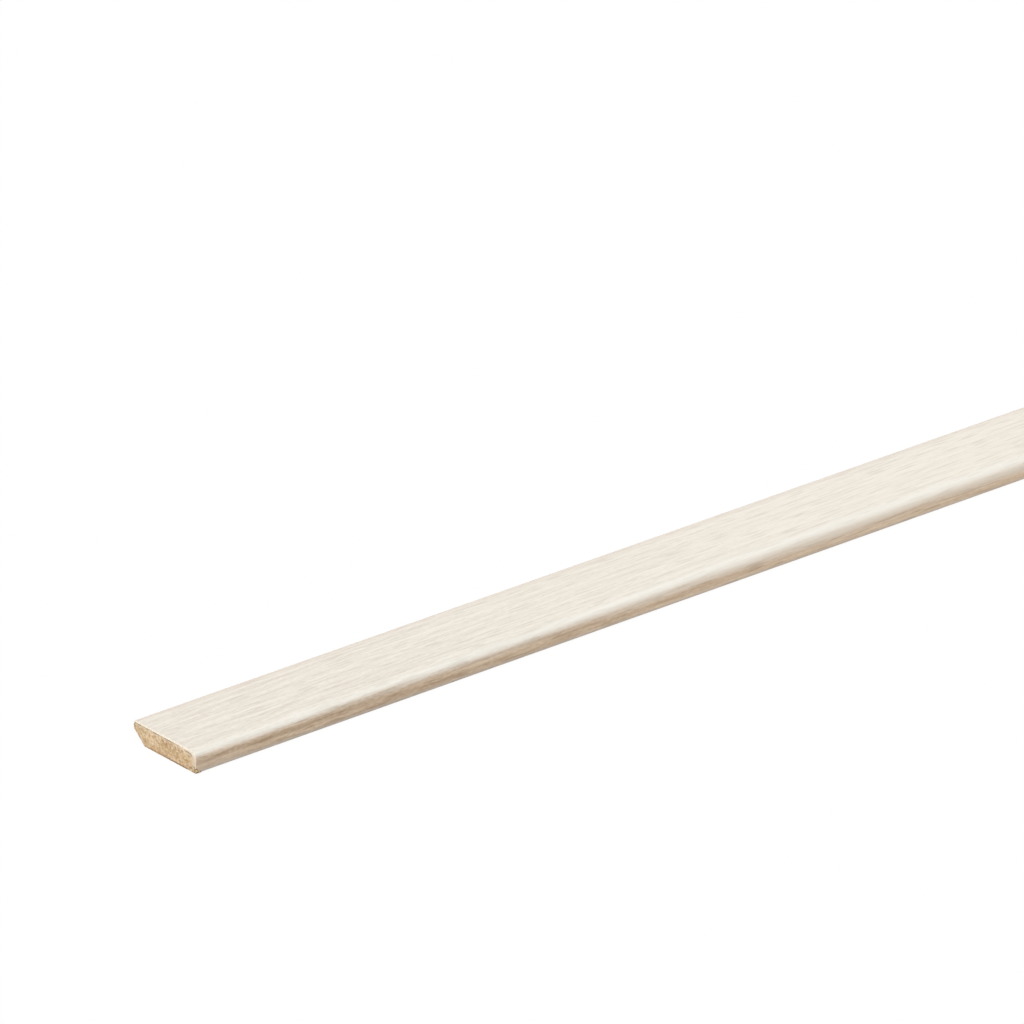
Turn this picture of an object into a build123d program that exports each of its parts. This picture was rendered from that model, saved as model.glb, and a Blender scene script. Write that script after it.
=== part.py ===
from build123d import *
from math import cos, radians, sin
import os

# Stick-on skirting strip: a moulded MDF core wrapped in a wood-grain decor foil.
#
# The strip lies on its back. X runs along its length, Y across its width, Z up from the
# back, which is glued to the wall, to the visible face. The origin is the middle of the
# back, half way along and half way across the overall width.
#
# The rounded edge at -Y is on top once the strip stands against a wall. The thin lip at
# +Y then stands on the floor. Behind the lip the core is cut back at a slant, so that
# the lip closes tightly on a floor that isn't quite flat. All sizes are millimetres.

# Overall size
LENGTH = 2400.0
WIDTH = 22.0
THICKNESS = 5.2

# Decor foil: one sheet, glued round the core
FOIL_THICKNESS = 0.4
FOIL_RETURN = 3.0  # how far the foil reaches under the back from the rounded edge

# Roundings of the moulded core, which the foil follows at its own thickness further out
NOSE_RADIUS = 1.6  # from the visible face to the rounded edge
ARRIS_RADIUS = 0.2  # from the rounded edge to the back
LIP_RADIUS = 0.3  # from the visible face to the lip

# Slanting cut behind the lip
UNDERCUT_WIDTH = 3.8
UNDERCUT_HEIGHT = 3.2

# Places across the section. A sketch on the plane YZ has its first axis along Y and its
# second along Z.
EDGE_Y = -WIDTH / 2
LIP_Y = WIDTH / 2
RETURN_Y = EDGE_Y + FOIL_RETURN
CORE_LIP_Y = LIP_Y - FOIL_THICKNESS
NOSE_CENTRE = (
    EDGE_Y + FOIL_THICKNESS + NOSE_RADIUS,
    THICKNESS - FOIL_THICKNESS - NOSE_RADIUS,
)
ARRIS_CENTRE = (
    EDGE_Y + FOIL_THICKNESS + ARRIS_RADIUS,
    FOIL_THICKNESS + ARRIS_RADIUS,
)
LIP_CENTRE = (
    CORE_LIP_Y - LIP_RADIUS,
    THICKNESS - FOIL_THICKNESS - LIP_RADIUS,
)
FOIL_END_Z = LIP_CENTRE[1]  # the foil is trimmed where the lip turns straight


def on_circle(centre, radius, degrees):
    """A point of a circle, at an angle counted from +Y towards +Z."""
    angle = radians(degrees)
    return (centre[0] + radius * cos(angle), centre[1] + radius * sin(angle))


def wrap_line(cover):
    """Draws the line that lies this far outside the core, from back to lip."""
    arris = ThreePointArc(
        on_circle(ARRIS_CENTRE, ARRIS_RADIUS + cover, 270),
        on_circle(ARRIS_CENTRE, ARRIS_RADIUS + cover, 225),
        on_circle(ARRIS_CENTRE, ARRIS_RADIUS + cover, 180),
    )
    nose = ThreePointArc(
        on_circle(NOSE_CENTRE, NOSE_RADIUS + cover, 180),
        on_circle(NOSE_CENTRE, NOSE_RADIUS + cover, 135),
        on_circle(NOSE_CENTRE, NOSE_RADIUS + cover, 90),
    )
    lip = ThreePointArc(
        on_circle(LIP_CENTRE, LIP_RADIUS + cover, 90),
        on_circle(LIP_CENTRE, LIP_RADIUS + cover, 45),
        on_circle(LIP_CENTRE, LIP_RADIUS + cover, 0),
    )
    Line((RETURN_Y, FOIL_THICKNESS - cover), arris @ 0)
    Line(arris @ 1, nose @ 0)
    Line(nose @ 1, lip @ 0)


# Core: one strip of MDF, moulded to the whole section. It is stepped in by the foil's
# thickness where the foil lies on it, so that both finish flush on the back and the lip.
with BuildPart() as core:
    with BuildSketch(Plane.YZ):
        with BuildLine():
            wrap_line(cover=0)
            Polyline(
                (CORE_LIP_Y, FOIL_END_Z),
                (LIP_Y, FOIL_END_Z),
                (LIP_Y, UNDERCUT_HEIGHT),
                (LIP_Y - UNDERCUT_WIDTH, 0),
                (RETURN_Y, 0),
                (RETURN_Y, FOIL_THICKNESS),
            )
        make_face()
    extrude(amount=LENGTH / 2, both=True)

# Foil: an even skin round the core, glued on all over and trimmed square along both edges.
with BuildPart() as foil:
    with BuildSketch(Plane.YZ):
        with BuildLine():
            wrap_line(cover=0)
            wrap_line(cover=FOIL_THICKNESS)
            Line((RETURN_Y, 0), (RETURN_Y, FOIL_THICKNESS))
            Line((LIP_Y, FOIL_END_Z), (CORE_LIP_Y, FOIL_END_Z))
        make_face()
    extrude(amount=LENGTH / 2, both=True)

core.part.label = "fibreboard_core"
foil.part.label = "decor_foil"

os.makedirs("parts", exist_ok=True)
export_step(core.part, "parts/fibreboard_core.step")
export_step(foil.part, "parts/decor_foil.step")
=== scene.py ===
from math import cos, dist, pi, radians, sin, sqrt

import bpy
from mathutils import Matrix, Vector, noise
from mathutils.geometry import delaunay_2d_cdt


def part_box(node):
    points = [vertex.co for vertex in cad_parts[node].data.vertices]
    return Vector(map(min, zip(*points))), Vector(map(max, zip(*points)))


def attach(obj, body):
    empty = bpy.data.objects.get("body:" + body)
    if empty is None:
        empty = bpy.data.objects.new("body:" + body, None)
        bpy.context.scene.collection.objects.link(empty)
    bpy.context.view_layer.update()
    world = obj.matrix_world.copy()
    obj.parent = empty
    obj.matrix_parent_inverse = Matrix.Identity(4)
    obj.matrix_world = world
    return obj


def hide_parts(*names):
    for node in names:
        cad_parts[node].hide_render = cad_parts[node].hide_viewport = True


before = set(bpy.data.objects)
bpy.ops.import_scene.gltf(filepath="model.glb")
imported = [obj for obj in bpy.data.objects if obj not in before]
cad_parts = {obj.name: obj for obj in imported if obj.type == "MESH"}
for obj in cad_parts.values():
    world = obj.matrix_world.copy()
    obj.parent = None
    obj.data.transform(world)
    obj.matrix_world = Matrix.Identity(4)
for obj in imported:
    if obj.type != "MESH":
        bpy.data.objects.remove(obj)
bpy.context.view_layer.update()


# Fibreboard core: one strip of MDF, run through a moulder to the whole section and sawn to
# length. Its back, its slanting undercut and its lip stay raw, and the saw leaves both ends
# fuzzy. The lower front corner of the near end broke out as the saw left the wood.

core_low, core_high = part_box("fibreboard_core")
foil_low, foil_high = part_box("decor_foil")

NEAR_X, FAR_X = foil_low.x, foil_high.x
EDGE_Y, LIP_Y = foil_low.y, foil_high.y
FACE_Z = foil_high.z
FOIL_THICKNESS = core_low.y - foil_low.y
NOSE_RADIUS = 0.0016
ARRIS_RADIUS = 0.0002
LIP_RADIUS = 0.0003
FOIL_RETURN = 0.0030
UNDERCUT_WIDTH = 0.0038
UNDERCUT_HEIGHT = 0.0032

RETURN_Y = EDGE_Y + FOIL_RETURN
NOSE_CENTRE = (core_low.y + NOSE_RADIUS, core_high.z - NOSE_RADIUS)
ARRIS_CENTRE = (core_low.y + ARRIS_RADIUS, FOIL_THICKNESS + ARRIS_RADIUS)
LIP_CENTRE = (LIP_Y - FOIL_THICKNESS - LIP_RADIUS, core_high.z - LIP_RADIUS)

NOSE_STEP = radians(7.5)
SMALL_ARC_STEP = radians(15)
FIBRE_STEP = 0.00011


def arc(centre, radius, start, end, step):
    """Points of an arc in the section, both ends included, each with its outward direction."""
    count = max(2, round(abs(end - start) / step))
    turns = [start + (end - start) * i / count for i in range(count + 1)]
    return [
        (centre[0] + radius * cos(t), centre[1] + radius * sin(t), cos(t), sin(t))
        for t in turns
    ]


def between(start, end, step):
    """Points on the straight way from start to end, about a step apart, without both ends."""
    count = max(1, round(dist(start[:2], end[:2]) / step))
    return [
        (start[0] + (end[0] - start[0]) * i / count, start[1] + (end[1] - start[1]) * i / count)
        for i in range(1, count)
    ]


def wrapped_line(step):
    """The core's line under the foil, from the back to the lip, as (y, z, outward y, outward z)."""
    corners = arc(ARRIS_CENTRE, ARRIS_RADIUS, -pi / 2, -pi, SMALL_ARC_STEP)
    corners += arc(NOSE_CENTRE, NOSE_RADIUS, pi, pi / 2, NOSE_STEP)
    corners += arc(LIP_CENTRE, LIP_RADIUS, pi / 2, 0, SMALL_ARC_STEP)
    line = [(RETURN_Y, FOIL_THICKNESS, 0.0, -1.0)]
    for corner in corners:
        line += [(y, z, corner[2], corner[3]) for y, z in between(line[-1], corner, step)]
        line.append(corner)
    return line


def core_outline(step):
    """The core's whole closed outline as (y, z), with its straight sides cut into steps."""
    bare_corners = [
        (LIP_Y, LIP_CENTRE[1]),
        (LIP_Y, UNDERCUT_HEIGHT),
        (LIP_Y - UNDERCUT_WIDTH, 0.0),
        (RETURN_Y, 0.0),
        (RETURN_Y, FOIL_THICKNESS),
    ]
    outline = [point[:2] for point in wrapped_line(step)]
    for corner in bare_corners:
        outline += between(outline[-1], corner, step)
        outline.append(corner)
    return outline[:-1]


def inside(outline, y, z):
    """Whether a point of the section lies in the outline."""
    crossings = 0
    for (y0, z0), (y1, z1) in zip(outline, outline[1:] + outline[:1]):
        if (z0 > z) != (z1 > z) and y < y0 + (z - z0) / (z1 - z0) * (y1 - y0):
            crossings += 1
    return crossings % 2 == 1


POINT_WANDER = 0.25
ROW_PITCH = 0.87
RIM_CLEARANCE = 0.75


def end_mesh(outline, step):
    """The section filled with triangles, as (points, faces, where each point came from)."""
    points = list(outline)
    row = 0
    z = step / 2
    while z < FACE_Z:
        y = EDGE_Y + (step / 2 if row % 2 else 0)
        while y < LIP_Y:
            wander_y = noise.noise(Vector((y * 7000, z * 7000, 0.5)))
            wander_z = noise.noise(Vector((y * 7000, z * 7000, 50.5)))
            at = (y + wander_y * step * POINT_WANDER, z + wander_z * step * POINT_WANDER)
            off_rim = min(abs(at[0] - p[0]) + abs(at[1] - p[1]) for p in outline)
            if off_rim > step * RIM_CLEARANCE and inside(outline, *at):
                points.append(at)
            y += step
        z += step * ROW_PITCH
        row += 1
    rim_edges = [(i, (i + 1) % len(outline)) for i in range(len(outline))]
    made = delaunay_2d_cdt([Vector(p) for p in points], rim_edges, [], 1, 1e-9)
    return [tuple(v) for v in made[0]], [tuple(f) for f in made[2]], made[3]


# What the saw leaves: fuzz, open pits, and a groove along the seam where the glue soaked in.
# The groove turns with the rounded edge, and climbs closer to the foil past it.
SAW_INSET = 0.00003
FUZZ_DEPTH = 0.00012
PIT_DEPTH = 0.00018
PIT_SPACING = 0.00085
PIT_REACH = 0.42
SEAM_CENTRE = (EDGE_Y + 0.0022, FACE_Z - 0.00175)
SEAM_RADIUS = 0.0008
SEAM_RISE = 0.00040
SEAM_RISE_FROM, SEAM_RISE_TO = EDGE_Y + 0.0040, EDGE_Y + 0.0070
SEAM_WIDTH = 0.00018
SEAM_DEPTH = 0.00016
SEAM_WANDER = 0.00010
SEAM_SHALLOW_Z, SEAM_FULL_Z = 0.0028, 0.0042


def held(value, low=0.0, high=1.0):
    """A value kept between two limits."""
    return min(high, max(low, value))


def seam_distance(y, z):
    """How far a point of the end lies from the centre of the seam's rounded corner."""
    share = held((y - SEAM_RISE_FROM) / (SEAM_RISE_TO - SEAM_RISE_FROM))
    beside = max(0.0, SEAM_CENTRE[0] - y)
    above = max(0.0, z - SEAM_CENTRE[1] - SEAM_RISE * share)
    return sqrt(beside**2 + above**2)


def sawn_depth(y, z, seed):
    """How far the saw left a point of the end below the end plane, in metres."""
    uphill, downhill = z - y, z + y
    strands = noise.fractal(Vector((uphill * 900, downhill * 2000, seed)), 0.6, 2.1, 4)
    fuzz = FUZZ_DEPTH * (0.5 + 0.5 * strands)

    off_pit = noise.voronoi(Vector((y, z * 1.2, seed)) / PIT_SPACING)[0][0]
    soft = 0.5 + 0.5 * noise.noise(Vector((y * 500, z * 700, seed + 3)))
    pit = PIT_DEPTH * soft * max(0.0, 1 - off_pit / PIT_REACH) ** 0.7

    wander = SEAM_WANDER * noise.noise(Vector((y * 900, z * 900, seed + 8)))
    off_seam = abs(seam_distance(y, z) - SEAM_RADIUS - wander) / SEAM_WIDTH
    gaping = held(0.7 + 1.6 * noise.noise(Vector((y * 620, z * 620, seed + 21))), 0.25)
    gaping *= held((z - SEAM_SHALLOW_Z) / (SEAM_FULL_Z - SEAM_SHALLOW_Z), 0.15)
    seam = SEAM_DEPTH * gaping * max(0.0, 1 - off_seam**2)
    return SAW_INSET + fuzz + pit + seam


# The torn corner. Its sizes are how far the break reaches along each axis.
BREAKOUT_AT = Vector((NEAR_X, EDGE_Y, 0.0))
CORE_BREAKOUT = Vector((0.0019, 0.0031, 0.0016))
SWELL_ROOT = 0.0005
SWELL_CLEARANCE = 0.00002
LUMP = 0.00034
LUMP_FULL_Z = 0.0006


def breakout_reach(point, size):
    """1 at the broken corner, 0 where the break ends, with a ragged rim."""
    away = point - BREAKOUT_AT
    off_corner = Vector((away.x / size.x, away.y / size.y, away.z / size.z)).length
    ragged = 0.22 * noise.noise(point * 3200) + 0.16 * noise.noise(point * 9000)
    return max(0.0, 1 - off_corner * (1 + ragged))


def broken_out(point):
    """A point of the core. At the broken corner its torn fibres swell out where foil was."""
    reach = breakout_reach(point, CORE_BREAKOUT)
    if reach == 0:
        return point
    torn = 0.5 + 0.5 * noise.fractal(point * 3400, 0.7, 2.1, 3)
    swell = FOIL_THICKNESS * held(reach * 5) * min(1.0, 0.7 + torn)
    beside = 1 - (point.y - EDGE_Y - FOIL_THICKNESS) / SWELL_ROOT
    below = 1 - (point.z - FOIL_THICKNESS) / SWELL_ROOT
    below = min(below, (RETURN_Y - point.y) / FOIL_THICKNESS)
    y = max(EDGE_Y + SWELL_CLEARANCE, point.y - swell * held(beside))
    z = max(SWELL_CLEARANCE, point.z - swell * held(below))
    rough = 0.3 + noise.fractal(point * 3800 + Vector((5, 5, 5)), 0.7, 2.1, 3)
    lump = LUMP * held(reach * 3) * max(0.0, rough) * min(1.0, z / LUMP_FULL_Z)
    return Vector((point.x + lump, y, z))


# A map for baked colours. The strip is far longer than wide, so it is cut into rows of
# equal length, one above another. Both ends lie side by side over the rows.
MAP_MARGIN = 0.012
ROW_FOOT, ROW_FILL = 0.02, 0.95
CORE_ROWS = 8
CORE_ROWS_TOP = 0.865
ENDS_FOOT, ENDS_HEIGHT = 0.875, 0.113
COVERED_SHARE = 0.08


def across_map(share, left=0.0, right=1.0):
    """How far across the map a point lies, for its share of the way between two sides."""
    return left + MAP_MARGIN + (right - left - 2 * MAP_MARGIN) * share


def in_rows(x, height, row, rows, top):
    """Where a point lies on such a map, from its height in its row, 0 to 1."""
    share = (x - NEAR_X) / (FAR_X - NEAR_X) * rows - row
    return (across_map(share), (row + ROW_FOOT + ROW_FILL * height) * top / rows)


def row_of(first_x, second_x, rows):
    """The row in which a face between these two places along the strip lies."""
    share = ((first_x + second_x) / 2 - NEAR_X) / (FAR_X - NEAR_X)
    return min(rows - 1, int(share * rows))


def end_spot(y, z, inward):
    """Where a point of the near end, or of the far end, lies on the map."""
    left, right = (0.0, 0.5) if inward == 1 else (0.5, 1.0)
    share = (y - EDGE_Y) / (LIP_Y - EDGE_Y)
    return (across_map(share, left, right), ENDS_FOOT + ENDS_HEIGHT * z / FACE_Z)


# Both ends have the same points before the saw roughens them. The rim holds the number of
# each of the outline's points among them.
outline = core_outline(FIBRE_STEP)
end_points, end_faces, sources = end_mesh(outline, FIBRE_STEP)
rim_of = {o: i for i, found in enumerate(sources) for o in found if o < len(outline)}
rim = [rim_of[i] for i in range(len(outline))]

core_points = []
core_faces = []
core_spots = []
core_depths = []
core_torn = []
for x, inward, seed in ((NEAR_X, 1, 11.0), (FAR_X, -1, 47.0)):
    start = len(core_points)
    for y, z in end_points:
        depth = sawn_depth(y, z, seed)
        at = Vector((x + inward * depth, y, z))
        core_points.append(broken_out(at))
        core_depths.append(depth)
        core_torn.append(breakout_reach(at, CORE_BREAKOUT))
    for face in end_faces:
        outward = face[::-1] if inward == 1 else face
        core_faces.append([start + i for i in outward])
        core_spots += [end_spot(*end_points[i], inward) for i in outward]

# Rings of points along the strip. Close to a rough sawn end they stand closer together, and
# straighten out its rim within the blend.
BLEND = 0.004
NEAR_RINGS = 24
NEAR_CROWDING = 1.3
MIDDLE_RINGS = 16
FAR_RINGS = (1.0, 0.5, 0.2)
rings = [("near", (i / NEAR_RINGS) ** NEAR_CROWDING) for i in range(1, NEAR_RINGS + 1)]
rings += [("at", NEAR_X + (FAR_X - NEAR_X) * i / MIDDLE_RINGS) for i in range(1, MIDDLE_RINGS)]
rings += [("far", share) for share in FAR_RINGS]
near_rim = [core_points[i].x for i in rim]
far_rim = [core_points[len(end_points) + i].x for i in rim]

# How high each point of the outline lies in its row. What the foil covers gets little of it.
covered = len(wrapped_line(FIBRE_STEP)) - 1
bare = len(outline) - covered
heights = [COVERED_SHARE * i / covered for i in range(covered)]
heights += [COVERED_SHARE + (1 - COVERED_SHARE) * i / bare for i in range(bare + 1)]


def join_rings(first, second):
    """Closes the core's sides between two rings of points."""
    for i in range(len(outline)):
        k = (i + 1) % len(outline)
        face = (first[i], second[i], second[k], first[k])
        row = row_of(core_points[first[i]].x, core_points[second[i]].x, CORE_ROWS)
        at = (heights[i], heights[i], heights[i + 1], heights[i + 1])
        core_faces.append(face)
        for point, height in zip(face, at):
            x = core_points[point].x
            core_spots.append(in_rows(x, height, row, CORE_ROWS, CORE_ROWS_TOP))


last_ring = rim
for kind, value in rings:
    start = len(core_points)
    for (y, z), near_x, far_x in zip(outline, near_rim, far_rim):
        if kind == "near":
            x = near_x + (NEAR_X + BLEND - near_x) * value
        elif kind == "far":
            x = far_x + (FAR_X - BLEND - far_x) * value
        else:
            x = value
        at = Vector((x, y, z))
        swollen = broken_out(at)
        core_points.append(Vector((x, swollen.y, swollen.z)))
        core_depths.append(0.0)
        core_torn.append(breakout_reach(at, CORE_BREAKOUT))
    ring = list(range(start, start + len(outline)))
    join_rings(last_ring, ring)
    last_ring = ring
join_rings(last_ring, [len(end_points) + i for i in rim])


def add_map(mesh, spots):
    """Gives a mesh its map for baked colours, with one spot for each corner of each face."""
    numbers = [number for spot in spots for number in spot]
    mesh.uv_layers.new(name="OFBake").data.foreach_set("uv", numbers)


def new_piece(name, mesh, crease):
    """Puts a mesh in the scene, smooth but for edges sharper than the crease, in degrees."""
    piece = bpy.data.objects.new(name, mesh)
    bpy.context.collection.objects.link(piece)
    mesh.shade_smooth()
    mesh.set_sharp_from_angle(angle=radians(crease))
    return piece


core_mesh = bpy.data.meshes.new("fibreboard_core")
core_mesh.from_pydata(core_points, [], core_faces)
core_mesh.update()
for name, values in (("sawn_depth", core_depths), ("torn", core_torn)):
    core_mesh.attributes.new(name, "FLOAT", "POINT").data.foreach_set("value", values)
add_map(core_mesh, core_spots)
core = new_piece("raw_fibreboard_core", core_mesh, 50)


def srgb(red, green, blue):
    """A colour as it is read off a screen, 0 to 255, as the linear numbers a shader takes."""
    channels = [c / 255 for c in (red, green, blue)]
    linear = [c / 12.92 if c <= 0.04045 else ((c + 0.055) / 1.055) ** 2.4 for c in channels]
    return (*linear, 1.0)


def put(tree, kind, inputs=None, **settings):
    """Adds a node and feeds its inputs, by name or number, with values or other outputs."""
    node = tree.nodes.new(kind)
    for name, value in settings.items():
        setattr(node, name, value)
    for name, value in (inputs or {}).items():
        if isinstance(value, bpy.types.NodeSocket):
            tree.links.new(value, node.inputs[name])
        else:
            node.inputs[name].default_value = value
    return node


def calc(tree, operation, first, second=0.0):
    """A sum with two numbers, either of which may be another node's output."""
    return put(tree, "ShaderNodeMath", {0: first, 1: second}, operation=operation).outputs[0]


def mixed(tree, share, first, second):
    """A colour between two colours."""
    inputs = {0: share, 6: first, 7: second}
    return put(tree, "ShaderNodeMix", inputs, data_type="RGBA").outputs[2]


def span(tree, value, low, high, to_low=0.0, to_high=1.0, smooth=False):
    """A value carried from one range to another, and held at its ends."""
    kind = "SMOOTHSTEP" if smooth else "LINEAR"
    inputs = {
        "Value": value,
        "From Min": low,
        "From Max": high,
        "To Min": to_low,
        "To Max": to_high,
    }
    return put(tree, "ShaderNodeMapRange", inputs, interpolation_type=kind).outputs[0]


def grain(tree, place, stretch, detail=2.0, rough=0.5, shift=0.0, twist=0.0):
    """Soft noise, 0 to 1, with so many features a metre along each of three directions."""
    moved = {"Vector": place, "Location": (shift, shift, shift), "Scale": stretch}
    inputs = {
        "Vector": put(tree, "ShaderNodeMapping", moved).outputs[0],
        "Scale": 1.0,
        "Detail": detail,
        "Roughness": rough,
        "Distortion": twist,
    }
    return put(tree, "ShaderNodeTexNoise", inputs).outputs["Fac"]


def new_material(name):
    """An empty node material with its shader, as (material, tree, shader)."""
    material = bpy.data.materials.new(name)
    material.use_nodes = True
    tree = material.node_tree
    tree.nodes.clear()
    shader = put(tree, "ShaderNodeBsdfPrincipled")
    put(tree, "ShaderNodeOutputMaterial", {"Surface": shader.outputs[0]})
    return material, tree, shader


BROWN_FIBRE = srgb(187, 154, 111)
TAN_FIBRE = srgb(222, 193, 155)
PALE_STRAND = srgb(242, 224, 196)
DARK_STRAND = srgb(161, 123, 74)
BARK_FLECK = srgb(148, 116, 76)
ROSY_FIBRE = srgb(216, 156, 128)
YELLOW_FIBRE = srgb(216, 188, 132)
MOULDED_FACE = srgb(205, 175, 139)
DAMP_FIBRE = srgb(230, 214, 189)
GLUED_LOW = srgb(228, 207, 184)
GLUED_HIGH = srgb(248, 232, 214)
SEAM_GLUE_AND_SHADE = srgb(134, 128, 106)
DEEP_FIBRE = srgb(188, 152, 112)
SHADED_LIP_TIP = srgb(150, 136, 118)
BOTTOM_EDGE_SHADE = srgb(134, 106, 80)
PIT_SHADE = srgb(132, 109, 78)
TORN_SHADE = srgb(140, 115, 82)
TORN_FIBRE = srgb(228, 205, 168)

STRAND_TILT = radians(30)
GLUE_WANDER = 0.0005
DAMP_FROM, DAMP_FULL = SEAM_RADIUS - 0.00100, SEAM_RADIUS - 0.00020
GLUE_FULL = SEAM_RADIUS + 0.00012
BRIGHT_GLUE_FROM, BRIGHT_GLUE_FULL = 0.0034, 0.0042
DEEP_FROM_Z, DEEP_FULL_Z = 0.0028, 0.0010
TIP_FROM_Y, TIP_FULL_Y = 0.0102, 0.0107
TIP_FROM_Z, TIP_FULL_Z = 0.0035, 0.0039
BOTTOM_SHADE_FROM_Z, BOTTOM_SHADE_FULL_Z = 0.00080, 0.00045
BOTTOM_SHADE_FROM_Y, BOTTOM_SHADE_FULL_Y = 0.004, -0.003
BOTTOM_SHADE_WANDER = 0.0004
PIT_TINT_FROM, PIT_TINT_FULL = 0.00014, 0.00028
FIBRE_RELIEF = 0.00010


def raw_fibreboard():
    """Felted wood fibre and resin: tan, with paler and darker strands and open pits."""
    material, tree, shader = new_material("raw_fibreboard")
    place = put(tree, "ShaderNodeTexCoord").outputs["Object"]
    parts = put(tree, "ShaderNodeSeparateXYZ", {0: place}).outputs
    y, z = parts[1], parts[2]
    tilt = {"Vector": place, "Rotation": (STRAND_TILT, 0, 0)}
    tilted = put(tree, "ShaderNodeMapping", tilt).outputs[0]
    cloud = grain(tree, place, (300, 130, 520), shift=2.6)
    strand = grain(tree, tilted, (1400, 1350, 950), rough=0.6, shift=3.0, twist=0.3)
    fleck = grain(tree, place, (1900, 1500, 2000), detail=1.0, rough=0.6, shift=9.0)
    warm = grain(tree, place, (700, 400, 700), detail=1.0, shift=17.0)
    tone = mixed(tree, span(tree, cloud, 0.36, 0.64), BROWN_FIBRE, TAN_FIBRE)
    tone = mixed(tree, span(tree, strand, 0.50, 0.74), tone, PALE_STRAND)
    tone = mixed(tree, span(tree, strand, 0.45, 0.24), tone, DARK_STRAND)
    tone = mixed(tree, span(tree, fleck, 0.60, 0.72, 0.0, 0.7), tone, BARK_FLECK)
    tone = mixed(tree, span(tree, warm, 0.58, 0.70, 0.0, 0.35), tone, ROSY_FIBRE)
    tone = mixed(tree, span(tree, warm, 0.46, 0.34, 0.0, 0.4), tone, YELLOW_FIBRE)

    # The moulder's knives leave the long faces closer and calmer than the saw leaves the ends.
    depth = put(tree, "ShaderNodeAttribute", attribute_name="sawn_depth").outputs["Fac"]
    sawn = span(tree, depth, 0.0, SAW_INSET * 2 / 3)
    tone = mixed(tree, span(tree, sawn, 0.0, 1.0, 0.45, 0.0), tone, MOULDED_FACE)

    # Next to the foil the fibres are soaked with pale glue, mostly behind the rounded edge.
    # A dark, gappy seam parts them from the dry ones: glue with painted shade in its groove.
    seam_low, seam_high = SEAM_CENTRE[1], SEAM_CENTRE[1] + SEAM_RISE
    corner_z = span(tree, y, SEAM_RISE_FROM, SEAM_RISE_TO, seam_low, seam_high)
    beside = calc(tree, "MAXIMUM", calc(tree, "SUBTRACT", SEAM_CENTRE[0], y), 0.0)
    above = calc(tree, "MAXIMUM", calc(tree, "SUBTRACT", z, corner_z), 0.0)
    squares = calc(tree, "ADD", calc(tree, "POWER", beside, 2.0), calc(tree, "POWER", above, 2.0))
    uneven = calc(tree, "MULTIPLY", calc(tree, "SUBTRACT", strand, 0.5), GLUE_WANDER)
    out = calc(tree, "ADD", calc(tree, "SQRT", squares), uneven)
    damp = span(tree, out, DAMP_FROM, DAMP_FULL, 0.0, 0.55)
    tone = mixed(tree, calc(tree, "MULTIPLY", damp, sawn), tone, DAMP_FIBRE)
    glue = span(tree, out, SEAM_RADIUS, GLUE_FULL, 0.0, 0.9)
    upper = span(tree, z, BRIGHT_GLUE_FROM, BRIGHT_GLUE_FULL)
    glued = mixed(tree, upper, GLUED_LOW, GLUED_HIGH)
    tone = mixed(tree, calc(tree, "MULTIPLY", glue, sawn), tone, glued)
    off_seam = calc(tree, "ABSOLUTE", calc(tree, "SUBTRACT", out, SEAM_RADIUS))
    gaps = grain(tree, place, (300, 420, 420), detail=1.0, shift=27.0)
    seam = span(tree, off_seam, SEAM_WIDTH * 1.3, SEAM_WIDTH * 0.6)
    seam = calc(tree, "MULTIPLY", seam, span(tree, gaps, 0.46, 0.58, 0.0, 0.8))
    seam = calc(tree, "MULTIPLY", calc(tree, "MULTIPLY", seam, upper), sawn)
    tone = mixed(tree, seam, tone, SEAM_GLUE_AND_SHADE)

    # Darker towards the bottom. Painted shade along the bottom edge, most towards the rounded
    # edge, and painted shade on the tip of the lip, under the foil's trimmed end.
    deep = span(tree, z, DEEP_FROM_Z, DEEP_FULL_Z, 0.0, 0.28)
    tone = mixed(tree, calc(tree, "MULTIPLY", deep, sawn), tone, DEEP_FIBRE)
    # Painted shade on the tip of the lip, under the foil's trimmed end.
    tip = calc(tree, "MULTIPLY", span(tree, y, TIP_FROM_Y, TIP_FULL_Y, 0.0, 0.6), sawn)
    tip = calc(tree, "MULTIPLY", tip, span(tree, z, TIP_FROM_Z, TIP_FULL_Z))
    tone = mixed(tree, tip, tone, SHADED_LIP_TIP)
    height = calc(tree, "ADD", z, calc(tree, "MULTIPLY", strand, BOTTOM_SHADE_WANDER))
    low = span(tree, height, BOTTOM_SHADE_FROM_Z, BOTTOM_SHADE_FULL_Z, 0.0, 0.8)
    side = calc(tree, "MULTIPLY", span(tree, y, BOTTOM_SHADE_FROM_Y, BOTTOM_SHADE_FULL_Y, 0.45, 1.0), sawn)
    tone = mixed(tree, calc(tree, "MULTIPLY", low, side), tone, BOTTOM_EDGE_SHADE)
    # Painted shade in the open pits, darker where they are deeper.
    pit = span(tree, depth, PIT_TINT_FROM, PIT_TINT_FULL, 0.0, 0.6)
    tone = mixed(tree, pit, tone, PIT_SHADE)

    # The torn corner shows clean fibres, and covers the painted shade along the bottom edge.
    torn = put(tree, "ShaderNodeAttribute", attribute_name="torn").outputs["Fac"]
    shred = grain(tree, place, (2300, 2300, 2300), rough=0.6, shift=31.0)
    golden = mixed(tree, span(tree, shred, 0.38, 0.62), TORN_SHADE, TORN_FIBRE)
    tone = mixed(tree, span(tree, torn, 0.0, 0.12), tone, golden)

    tree.links.new(tone, shader.inputs["Base Color"])
    shader.inputs["Roughness"].default_value = 0.9
    shader.inputs["Specular IOR Level"].default_value = 0.25
    rough = span(tree, sawn, 0.0, 1.0, 0.25, 0.6)
    relief = {"Height": strand, "Strength": rough, "Distance": FIBRE_RELIEF}
    bump = put(tree, "ShaderNodeBump", relief)
    tree.links.new(bump.outputs[0], shader.inputs["Normal"])
    return material


core_mesh.materials.append(raw_fibreboard())
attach(core, "root")
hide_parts("fibreboard_core")


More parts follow.
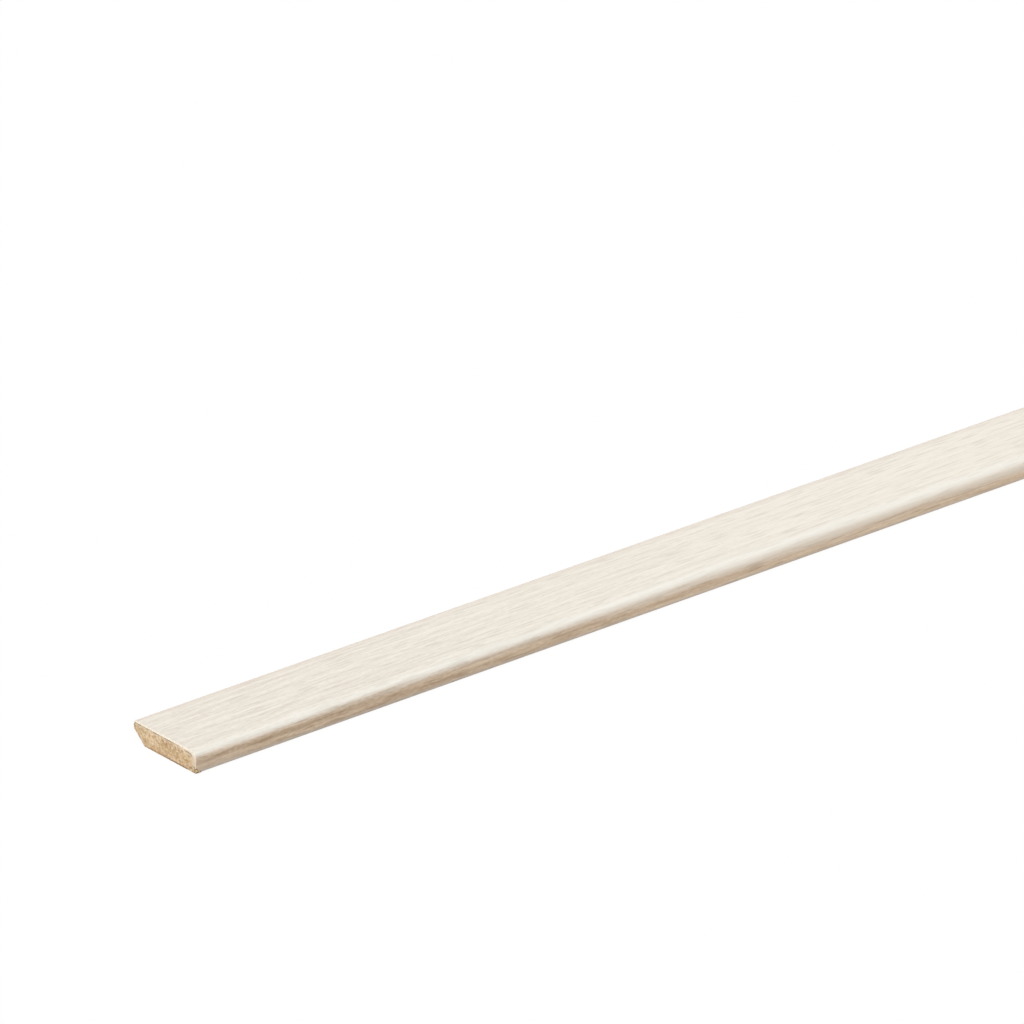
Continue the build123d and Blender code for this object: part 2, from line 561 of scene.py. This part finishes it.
# Decor foil: one thin sheet of laminate, printed as white-washed wood and lightly embossed.
# It is glued round the core from under the back to the lip and trimmed flush. The saw leaves
# its cut edge pale, and the breakout at the near end took a bite out of it.

FOIL_STEP = 0.00035
FOIL_BREAKOUT = Vector((0.00135, 0.0029, 0.0013))
CHIP_DEPTH = 0.00005
FRAY_DEPTH = 0.00013
FRAY_FROM = 0.5


def foil_edge_x(y, z, end_x, inward):
    """Where the foil ends, along the strip, at a point of the section."""
    at = Vector((end_x, y, z))
    ragged = 0.5 + 0.5 * noise.fractal(at * 2500, 0.7, 2.0, 3)
    inset = CHIP_DEPTH * ragged**2
    if inward == 1:
        bite = FOIL_BREAKOUT.x * held(breakout_reach(at, FOIL_BREAKOUT) * 1.6)
        inset += bite * (1 + 0.3 * noise.noise(at * 6000))
    return end_x + inward * inset


# The wrapped line, and how far along the printed side each of its places lies.
line = wrapped_line(FOIL_STEP)
printed_line = [
    (y + out_y * FOIL_THICKNESS, z + out_z * FOIL_THICKNESS) for y, z, out_y, out_z in line
]
run = [0.0]
for first, second in zip(printed_line, printed_line[1:]):
    run.append(run[-1] + dist(first, second))

# Places along the strip where a ring of points goes round the foil, close together near the
# sawn ends.
NEAR_STATIONS = 24
PLAIN_STATIONS = 96
FAR_STATIONS = 5
CROWDING = 1.5
plain_length = FAR_X - NEAR_X - 2 * BLEND
plain_step = plain_length / PLAIN_STATIONS
stations = [("near", (i / NEAR_STATIONS) ** CROWDING) for i in range(NEAR_STATIONS + 1)]
stations += [("at", NEAR_X + BLEND + plain_step * i) for i in range(1, PLAIN_STATIONS)]
stations += [("far", (1 - i / FAR_STATIONS) ** CROWDING) for i in range(FAR_STATIONS + 1)]

foil_points = []
foil_unrolled = []


def add_foil_point(j, cover, kind, value=0.0, fray=0.0):
    """Adds a point over place j of the wrapped line, cover times the foil's thickness out."""
    y, z, out_y, out_z = line[j]
    at_y = y + out_y * FOIL_THICKNESS * cover
    at_z = z + out_z * FOIL_THICKNESS * cover
    if kind == "at":
        x = value
    else:
        end_x, inward = (NEAR_X, 1) if kind == "near" else (FAR_X, -1)
        edge = foil_edge_x(at_y, at_z, end_x, inward) + inward * fray
        x = edge + (end_x + inward * BLEND - edge) * value
    foil_points.append((x, at_y, at_z))
    foil_unrolled.append((x, run[j]))


# Each ring has the printed side first and the glued side after it.
columns = len(line)
ring_size = 2 * columns
for kind, value in stations:
    for cover in (1, 0):
        for j in range(columns):
            fray = FRAY_DEPTH * (0.6 + 0.8 * noise.noise(Vector((j * 1.7, 0.5, 0)))) * cover
            add_foil_point(j, cover, kind, value, fray)

# The sawn edges are square from the core to half way through the foil, and frayed back from
# there to the print. Where they meet the trimmed edges they stay straight.
far_start = (len(stations) - 1) * ring_size
half_way = {}
for kind, outer in (("near", 0), ("far", far_start)):
    half_way[kind] = len(foil_points)
    for j in range(columns):
        add_foil_point(j, FRAY_FROM, kind)
    for j in (0, columns - 1):
        ends = zip(foil_points[outer + j], foil_points[outer + columns + j])
        foil_points[half_way[kind] + j] = tuple((first + second) / 2 for first, second in ends)

# The same kind of map as the core's. In each row the print comes first, then the trimmed
# edge at the lip, the glued side and the trimmed edge under the back. The sawn edges lie
# over the rows.
FOIL_ROWS = 6
FOIL_ROWS_TOP = 0.965
PRINT_TOP, LIP_TOP, GLUED_TOP, RETURN_TOP = 0.92, 0.94, 0.98, 1.0
NEAR_CUT_FOOT, FAR_CUT_FOOT = 0.968, 0.984
CUT_STRIP = 0.006

end_column = columns - 1
foil_faces = []
foil_spots = []


def add_side(face, at):
    """Adds a face along the foil, whose corners lie at these heights in their row."""
    places = [foil_points[point][0] for point in face]
    row = row_of(min(places), max(places), FOIL_ROWS)
    foil_faces.append(face)
    for x, height in zip(places, at):
        foil_spots.append(in_rows(x, height, row, FOIL_ROWS, FOIL_ROWS_TOP))


for number in range(len(stations) - 1):
    a = number * ring_size
    b = a + ring_size
    for j in range(end_column):
        first, second = run[j] / run[-1], run[j + 1] / run[-1]
        low, high = PRINT_TOP * first, PRINT_TOP * second
        add_side((a + j, b + j, b + j + 1, a + j + 1), (low, low, high, high))
        low = GLUED_TOP - (GLUED_TOP - LIP_TOP) * second
        high = GLUED_TOP - (GLUED_TOP - LIP_TOP) * first
        inner = columns + j
        add_side((a + inner + 1, b + inner + 1, b + inner, a + inner), (low, low, high, high))
    # The trimmed edges. At both ends of the strip they also meet the points half way through.
    for j, outer, inner in ((0, RETURN_TOP, GLUED_TOP), (end_column, PRINT_TOP, LIP_TOP)):
        face = [a + j, a + columns + j, b + columns + j, b + j]
        at = [outer, inner, inner, outer]
        if number == 0:
            face.insert(1, half_way["near"] + j)
            at.insert(1, (outer + inner) / 2)
        if number == len(stations) - 2:
            face.insert(3, half_way["far"] + j)
            at.insert(3, (outer + inner) / 2)
        if j == end_column:
            face.reverse()
            at.reverse()
        add_side(face, at)

# The sawn edges, in two strips: the frayed one next to the print and the square one.
cut_faces = []
for kind, outer, foot in (("near", 0, NEAR_CUT_FOOT), ("far", far_start, FAR_CUT_FOOT)):
    middle = half_way[kind]
    inner = outer + columns
    for j in range(end_column):
        left, right = across_map(run[j] / run[-1]), across_map(run[j + 1] / run[-1])
        for first, second, low in ((outer, middle, foot), (middle, inner, foot + CUT_STRIP)):
            high = low + CUT_STRIP
            face = [first + j, first + j + 1, second + j + 1, second + j]
            spots = [(left, low), (right, low), (right, high), (left, high)]
            if kind == "far":
                face.reverse()
                spots.reverse()
            cut_faces.append(face)
            foil_spots += spots

foil_mesh = bpy.data.meshes.new("decor_foil")
foil_mesh.from_pydata(foil_points, [], foil_faces + cut_faces)
foil_mesh.update()
unrolled = foil_mesh.uv_layers.new(name="unrolled")
for loop in foil_mesh.loops:
    unrolled.data[loop.index].uv = foil_unrolled[loop.vertex_index]
add_map(foil_mesh, foil_spots)
foil = new_piece("printed_decor_foil", foil_mesh, 40)
for face in foil_mesh.polygons:
    face.material_index = 1 if face.index >= len(foil_faces) else 0

WHITE_WASH = srgb(243, 237, 226)
FACE_GRAIN_DIM = srgb(223, 214, 200)
FACE_GRAIN_LIT = srgb(234, 227, 215)
WASHED_PORE = srgb(194, 182, 165)
CREST_HIGHLIGHT = srgb(246, 245, 238)
LIP_TINT = srgb(228, 213, 200)
WARM_EDGE_SHADE = srgb(238, 220, 198)
SHADED_TAN_DARK_DIM = srgb(178, 150, 121)
SHADED_TAN_DARK_LIT = srgb(213, 186, 157)
SHADED_TAN_PALE_DIM = srgb(228, 205, 178)
SHADED_TAN_PALE_LIT = srgb(238, 215, 188)
TAN_PORE = srgb(150, 118, 90)
PALE_START = srgb(232, 212, 188)
SHADED_ARRIS = srgb(208, 202, 190)

front_places = [run[i] for i in range(columns) if line[i][2] < -0.99]
face_places = [run[i] for i in range(columns) if line[i][3] > 0.99]
FRONT_START, FRONT_END = front_places[0], front_places[-1]
FACE_END = face_places[-1]
CREST_FROM, CREST_FULL, CREST_END = FRONT_END + 0.0005, FRONT_END + 0.0012, FRONT_END + 0.0030
LIP_TINT_FROM = FACE_END - 0.0022
WARM_EDGE_SHADE_FROM = FRONT_END + 0.0016
FRONT_SHADE_FULL_DIM, FRONT_SHADE_FULL_LIT, FRONT_SHADE_END = FRONT_END - 0.0003, FRONT_END - 0.0009, FRONT_END + 0.0015
PALE_START_FROM, PALE_START_FULL = NEAR_X + 0.018, NEAR_X + 0.009
PALE_START_TOP, PALE_START_LOW = FRONT_END - 0.0006, FRONT_END - 0.0014
ARRIS_SHADE_AT, ARRIS_SHADE_REACH = FRONT_START - 0.0001, 0.0008
LIT_SHIFT = 0.0012
EDGE_WANDER = 0.0018
PRINT_WANDER = 0.0005
DRIFT = 0.012
RING_SPACING = 0.0025
RING_WAVER = 9.0
LIT_REPEAT = 0.48
DIMMEST_X = NEAR_X - 0.020
EMBOSSING = 0.00006


def printed_wood():
    """White-washed wood print: pale cream, with long soft streaks and short fine pores."""
    material, tree, shader = new_material("printed_wood_foil")
    place = put(tree, "ShaderNodeUVMap", uv_map="unrolled").outputs[0]
    parts = put(tree, "ShaderNodeSeparateXYZ", {0: place}).outputs
    along, across = parts[0], parts[1]
    waves = grain(tree, place, (14, 90, 1), detail=1.0)
    wander = calc(tree, "MULTIPLY", waves, PRINT_WANDER)
    wavy = calc(tree, "ADD", across, wander)
    wavy = calc(tree, "SUBTRACT", wavy, calc(tree, "MULTIPLY", along, DRIFT))
    flow = put(tree, "ShaderNodeCombineXYZ", {0: along, 1: wavy}).outputs[0]

    # Painted light: the print is darker at the near end and lighter further on, and this repeats
    # along the strip.
    rolled = calc(tree, "SUBTRACT", along, DIMMEST_X)
    turned = calc(tree, "MULTIPLY", rolled, 2 * pi / LIT_REPEAT)
    lit_along = span(tree, calc(tree, "COSINE", turned), 1.0, -1.0)

    # Faint growth rings, streaks along them, and fine ticks and pores.
    waver = grain(tree, flow, (26, 200, 1), detail=1.0, shift=41.0)
    phase = calc(tree, "MULTIPLY", waver, RING_WAVER)
    turns = calc(tree, "MULTIPLY", wavy, 2 * pi / RING_SPACING)
    growth = calc(tree, "SINE", calc(tree, "ADD", turns, phase))
    bands = grain(tree, flow, (11, 420, 1), detail=1.0, shift=29.0)
    streaks = grain(tree, flow, (30, 1100, 1), detail=1.0, shift=5.0)
    dashes = grain(tree, flow, (120, 1400, 1), detail=1.0, shift=11.0)
    ticks = grain(tree, flow, (700, 2100, 1), detail=1.0, shift=19.0)
    pores = grain(tree, flow, (140, 1700, 1), detail=0.0, shift=23.0)
    figure = calc(tree, "MULTIPLY", growth, 0.042)
    for part, share in ((bands, 0.13), (streaks, 0.24), (dashes, 0.31), (ticks, 0.32)):
        figure = calc(tree, "ADD", figure, calc(tree, "MULTIPLY", part, share))
    pore = span(tree, pores, 0.58, 0.72)

    # The visible face: a cool painted highlight along the crest of the rounded edge, and rosy
    # at the lip.
    dark = mixed(tree, lit_along, FACE_GRAIN_DIM, FACE_GRAIN_LIT)
    face = mixed(tree, span(tree, figure, 0.36, 0.60), dark, WHITE_WASH)
    face = mixed(tree, calc(tree, "MULTIPLY", pore, 0.28), face, WASHED_PORE)
    crest_highlight = span(tree, across, CREST_FROM, CREST_FULL, 0.0, 0.45, smooth=True)
    crest_end = calc(tree, "ADD", CREST_END, calc(tree, "MULTIPLY", lit_along, LIT_SHIFT))
    fading = span(tree, across, CREST_FULL, crest_end, 1.0, 0.0, smooth=True)
    face = mixed(tree, calc(tree, "MULTIPLY", crest_highlight, fading), face, CREST_HIGHLIGHT)
    rosy = span(tree, across, LIP_TINT_FROM, FACE_END, 0.0, 0.45, smooth=True)
    face = mixed(tree, rosy, face, LIP_TINT)
    # Warm painted shade over the lower rounded edge, more of it where the painted light is
    # stronger.
    warm_edge_shade = calc(tree, "MULTIPLY", span(tree, across, WARM_EDGE_SHADE_FROM, FRONT_END, 0.0, 0.5), lit_along)
    face = mixed(tree, warm_edge_shade, face, WARM_EDGE_SHADE)

    # Over the rounded edge the colour turns to the front's tan: partly the tan print under a
    # thinning white wash, partly painted shade of the front.
    dark = mixed(tree, lit_along, SHADED_TAN_DARK_DIM, SHADED_TAN_DARK_LIT)
    light = mixed(tree, lit_along, SHADED_TAN_PALE_DIM, SHADED_TAN_PALE_LIT)
    front = mixed(tree, span(tree, figure, 0.34, 0.64), dark, light)
    front = mixed(tree, calc(tree, "MULTIPLY", pore, 0.35), front, TAN_PORE)
    start = span(tree, along, PALE_START_FROM, PALE_START_FULL, 0.0, 0.4)
    low = span(tree, across, PALE_START_TOP, PALE_START_LOW)
    front = mixed(tree, calc(tree, "MULTIPLY", start, low), front, PALE_START)
    # The rounded lower arris greyer: painted shade with the floor's bounced light.
    off_arris = calc(tree, "ABSOLUTE", calc(tree, "SUBTRACT", across, ARRIS_SHADE_AT))
    most_arris_shade = span(tree, lit_along, 0.0, 1.0, 0.65, 0.4)
    arris_shade = span(tree, off_arris, ARRIS_SHADE_REACH, 0.0, 0.0, most_arris_shade, smooth=True)
    front = mixed(tree, arris_shade, front, SHADED_ARRIS)
    lowered = calc(tree, "ADD", across, calc(tree, "MULTIPLY", lit_along, LIT_SHIFT))
    uneven = calc(tree, "MULTIPLY", calc(tree, "SUBTRACT", streaks, 0.5), EDGE_WANDER)
    edge = calc(tree, "ADD", lowered, uneven)
    full_at = span(tree, lit_along, 0.0, 1.0, FRONT_SHADE_FULL_DIM, FRONT_SHADE_FULL_LIT)
    into_front_shade = span(tree, edge, full_at, FRONT_SHADE_END, 1.0, 0.0, smooth=True)
    tree.links.new(mixed(tree, into_front_shade, face, front), shader.inputs["Base Color"])

    shader.inputs["Roughness"].default_value = 0.5
    shader.inputs["Specular IOR Level"].default_value = 0.3
    height = calc(tree, "SUBTRACT", figure, calc(tree, "MULTIPLY", pore, 0.15))
    relief = {"Height": height, "Strength": 0.15, "Distance": EMBOSSING}
    bump = put(tree, "ShaderNodeBump", relief)
    tree.links.new(bump.outputs[0], shader.inputs["Normal"])
    return material


CUT_SHADE = srgb(234, 217, 195)
CUT_LIGHT = srgb(250, 241, 226)
LOWER_CUT_TONE = srgb(221, 199, 175)
LOWER_CUT_FROM_Z, LOWER_CUT_FULL_Z = 0.0044, 0.0034


def cut_foil_edge():
    """The foil's sawn edge: its pale body under the print, a little fluffy."""
    material, tree, shader = new_material("foil_cut_edge")
    place = put(tree, "ShaderNodeTexCoord").outputs["Object"]
    fuzz = grain(tree, place, (2500, 2500, 2500), detail=3.0)
    tone = mixed(tree, span(tree, fuzz, 0.35, 0.6), CUT_SHADE, CUT_LIGHT)
    z = put(tree, "ShaderNodeSeparateXYZ", {0: place}).outputs[2]
    # The cut edge is darker and more tan towards the bottom.
    lower_cut = span(tree, z, LOWER_CUT_FROM_Z, LOWER_CUT_FULL_Z, 0.0, 0.8)
    tree.links.new(mixed(tree, lower_cut, tone, LOWER_CUT_TONE), shader.inputs["Base Color"])
    shader.inputs["Roughness"].default_value = 0.8
    shader.inputs["Specular IOR Level"].default_value = 0.25
    return material


foil_mesh.materials.append(printed_wood())
foil_mesh.materials.append(cut_foil_edge())
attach(foil, "root")
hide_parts("decor_foil")


# Floor: plain and white under the strip, with the strip's own soft shadow and nothing else
# on it. Past its edge the world is the same white.

FLOOR_SIZE = 60.0
SHADOW_SHARE = 0.08
WHITE = (1, 1, 1, 1)
PAINTED_BOARD = srgb(214, 214, 214)


def seen_directly(tree):
    """1 where the camera looks, also by way of gloss or glass, and 0 where light bounces."""
    path = put(tree, "ShaderNodeLightPath").outputs
    seen = calc(tree, "MAXIMUM", path["Is Camera Ray"], path["Is Glossy Ray"])
    return calc(tree, "MAXIMUM", seen, path["Is Transmission Ray"])


bpy.ops.mesh.primitive_plane_add(size=FLOOR_SIZE, location=(0, 0, 0))
floor = bpy.context.object
floor.name = "studio_floor"
paint = bpy.data.materials.new("white_floor")
paint.use_nodes = True
tree = paint.node_tree
tree.nodes.clear()
seen = seen_directly(tree)
board = mixed(tree, seen, PAINTED_BOARD, WHITE)
lit = put(tree, "ShaderNodeBsdfDiffuse", {"Color": board})
white = put(tree, "ShaderNodeEmission", {"Color": WHITE, "Strength": 1.0})
white_share = calc(tree, "MULTIPLY", seen, 1 - SHADOW_SHARE)
both = put(tree, "ShaderNodeMixShader", {0: white_share, 1: lit.outputs[0], 2: white.outputs[0]})
put(tree, "ShaderNodeOutputMaterial", {"Surface": both.outputs[0]})
floor.data.materials.append(paint)


# Light: soft, from an even sky and one broad key light to the left and above. The key falls
# on the sawn end and the face and only grazes the rounded edge, which stays in half shade.

SKY_LEVEL = 0.35
KEY_LEVEL = 0.82
KEY_WIDTH = radians(60)
TOWARDS_KEY = (-0.573, -0.207, 0.793)

world = bpy.data.worlds.new("studio_sky")
world.use_nodes = True
bpy.context.scene.world = world
tree = world.node_tree
tree.nodes.clear()
sky = put(tree, "ShaderNodeBackground", {"Color": WHITE, "Strength": SKY_LEVEL})
white = put(tree, "ShaderNodeBackground", {"Color": WHITE, "Strength": 1.0})
seen = seen_directly(tree)
both = put(tree, "ShaderNodeMixShader", {0: seen, 1: sky.outputs[0], 2: white.outputs[0]})
put(tree, "ShaderNodeOutputWorld", {"Surface": both.outputs[0]})

# A sun lights the whole strip alike. A level of 1 shows a colour that faces it as written.
lamp = bpy.data.lights.new("key_light", "SUN")
lamp.energy = KEY_LEVEL * pi
lamp.angle = KEY_WIDTH
key_light = bpy.data.objects.new("key_light", lamp)
key_light.rotation_euler = Vector(TOWARDS_KEY).to_track_quat("Z", "Y").to_euler()
bpy.context.collection.objects.link(key_light)


# Camera: it stands where the photograph was taken from, in front of the rounded edge, to the
# left and above. Its lens is long, and the near end's lower front corner falls in its place.

AZIMUTH, ELEVATION = radians(-39.62), radians(24.89)
IMAGE_SIZE = 1024
FOCAL_PIXELS = 15026
CORNER_DISTANCE = 3.2868
CORNER_IN_PHOTO = (196.1, 774.6)

back = Vector((sin(AZIMUTH) * cos(ELEVATION), -cos(AZIMUTH) * cos(ELEVATION), sin(ELEVATION)))
right = Vector((cos(AZIMUTH), sin(AZIMUTH), 0))
up = back.cross(right)
off_right = (CORNER_IN_PHOTO[0] - IMAGE_SIZE / 2) / FOCAL_PIXELS * CORNER_DISTANCE
off_up = (IMAGE_SIZE / 2 - CORNER_IN_PHOTO[1]) / FOCAL_PIXELS * CORNER_DISTANCE
corner = Vector((NEAR_X, EDGE_Y, 0))
camera_data = bpy.data.cameras.new("camera")
camera_data.sensor_width = 36
camera_data.lens = FOCAL_PIXELS * camera_data.sensor_width / IMAGE_SIZE
camera_data.clip_start, camera_data.clip_end = 0.1, 200
camera = bpy.data.objects.new("camera", camera_data)
camera.location = corner - right * off_right - up * off_up + back * CORNER_DISTANCE
camera.rotation_mode = "QUATERNION"
camera.rotation_quaternion = (-back).to_track_quat("-Z", "Y")
bpy.context.collection.objects.link(camera)
bpy.context.scene.camera = camera

bpy.context.scene.view_settings.view_transform = "Standard"

bpy.context.view_layer.update()
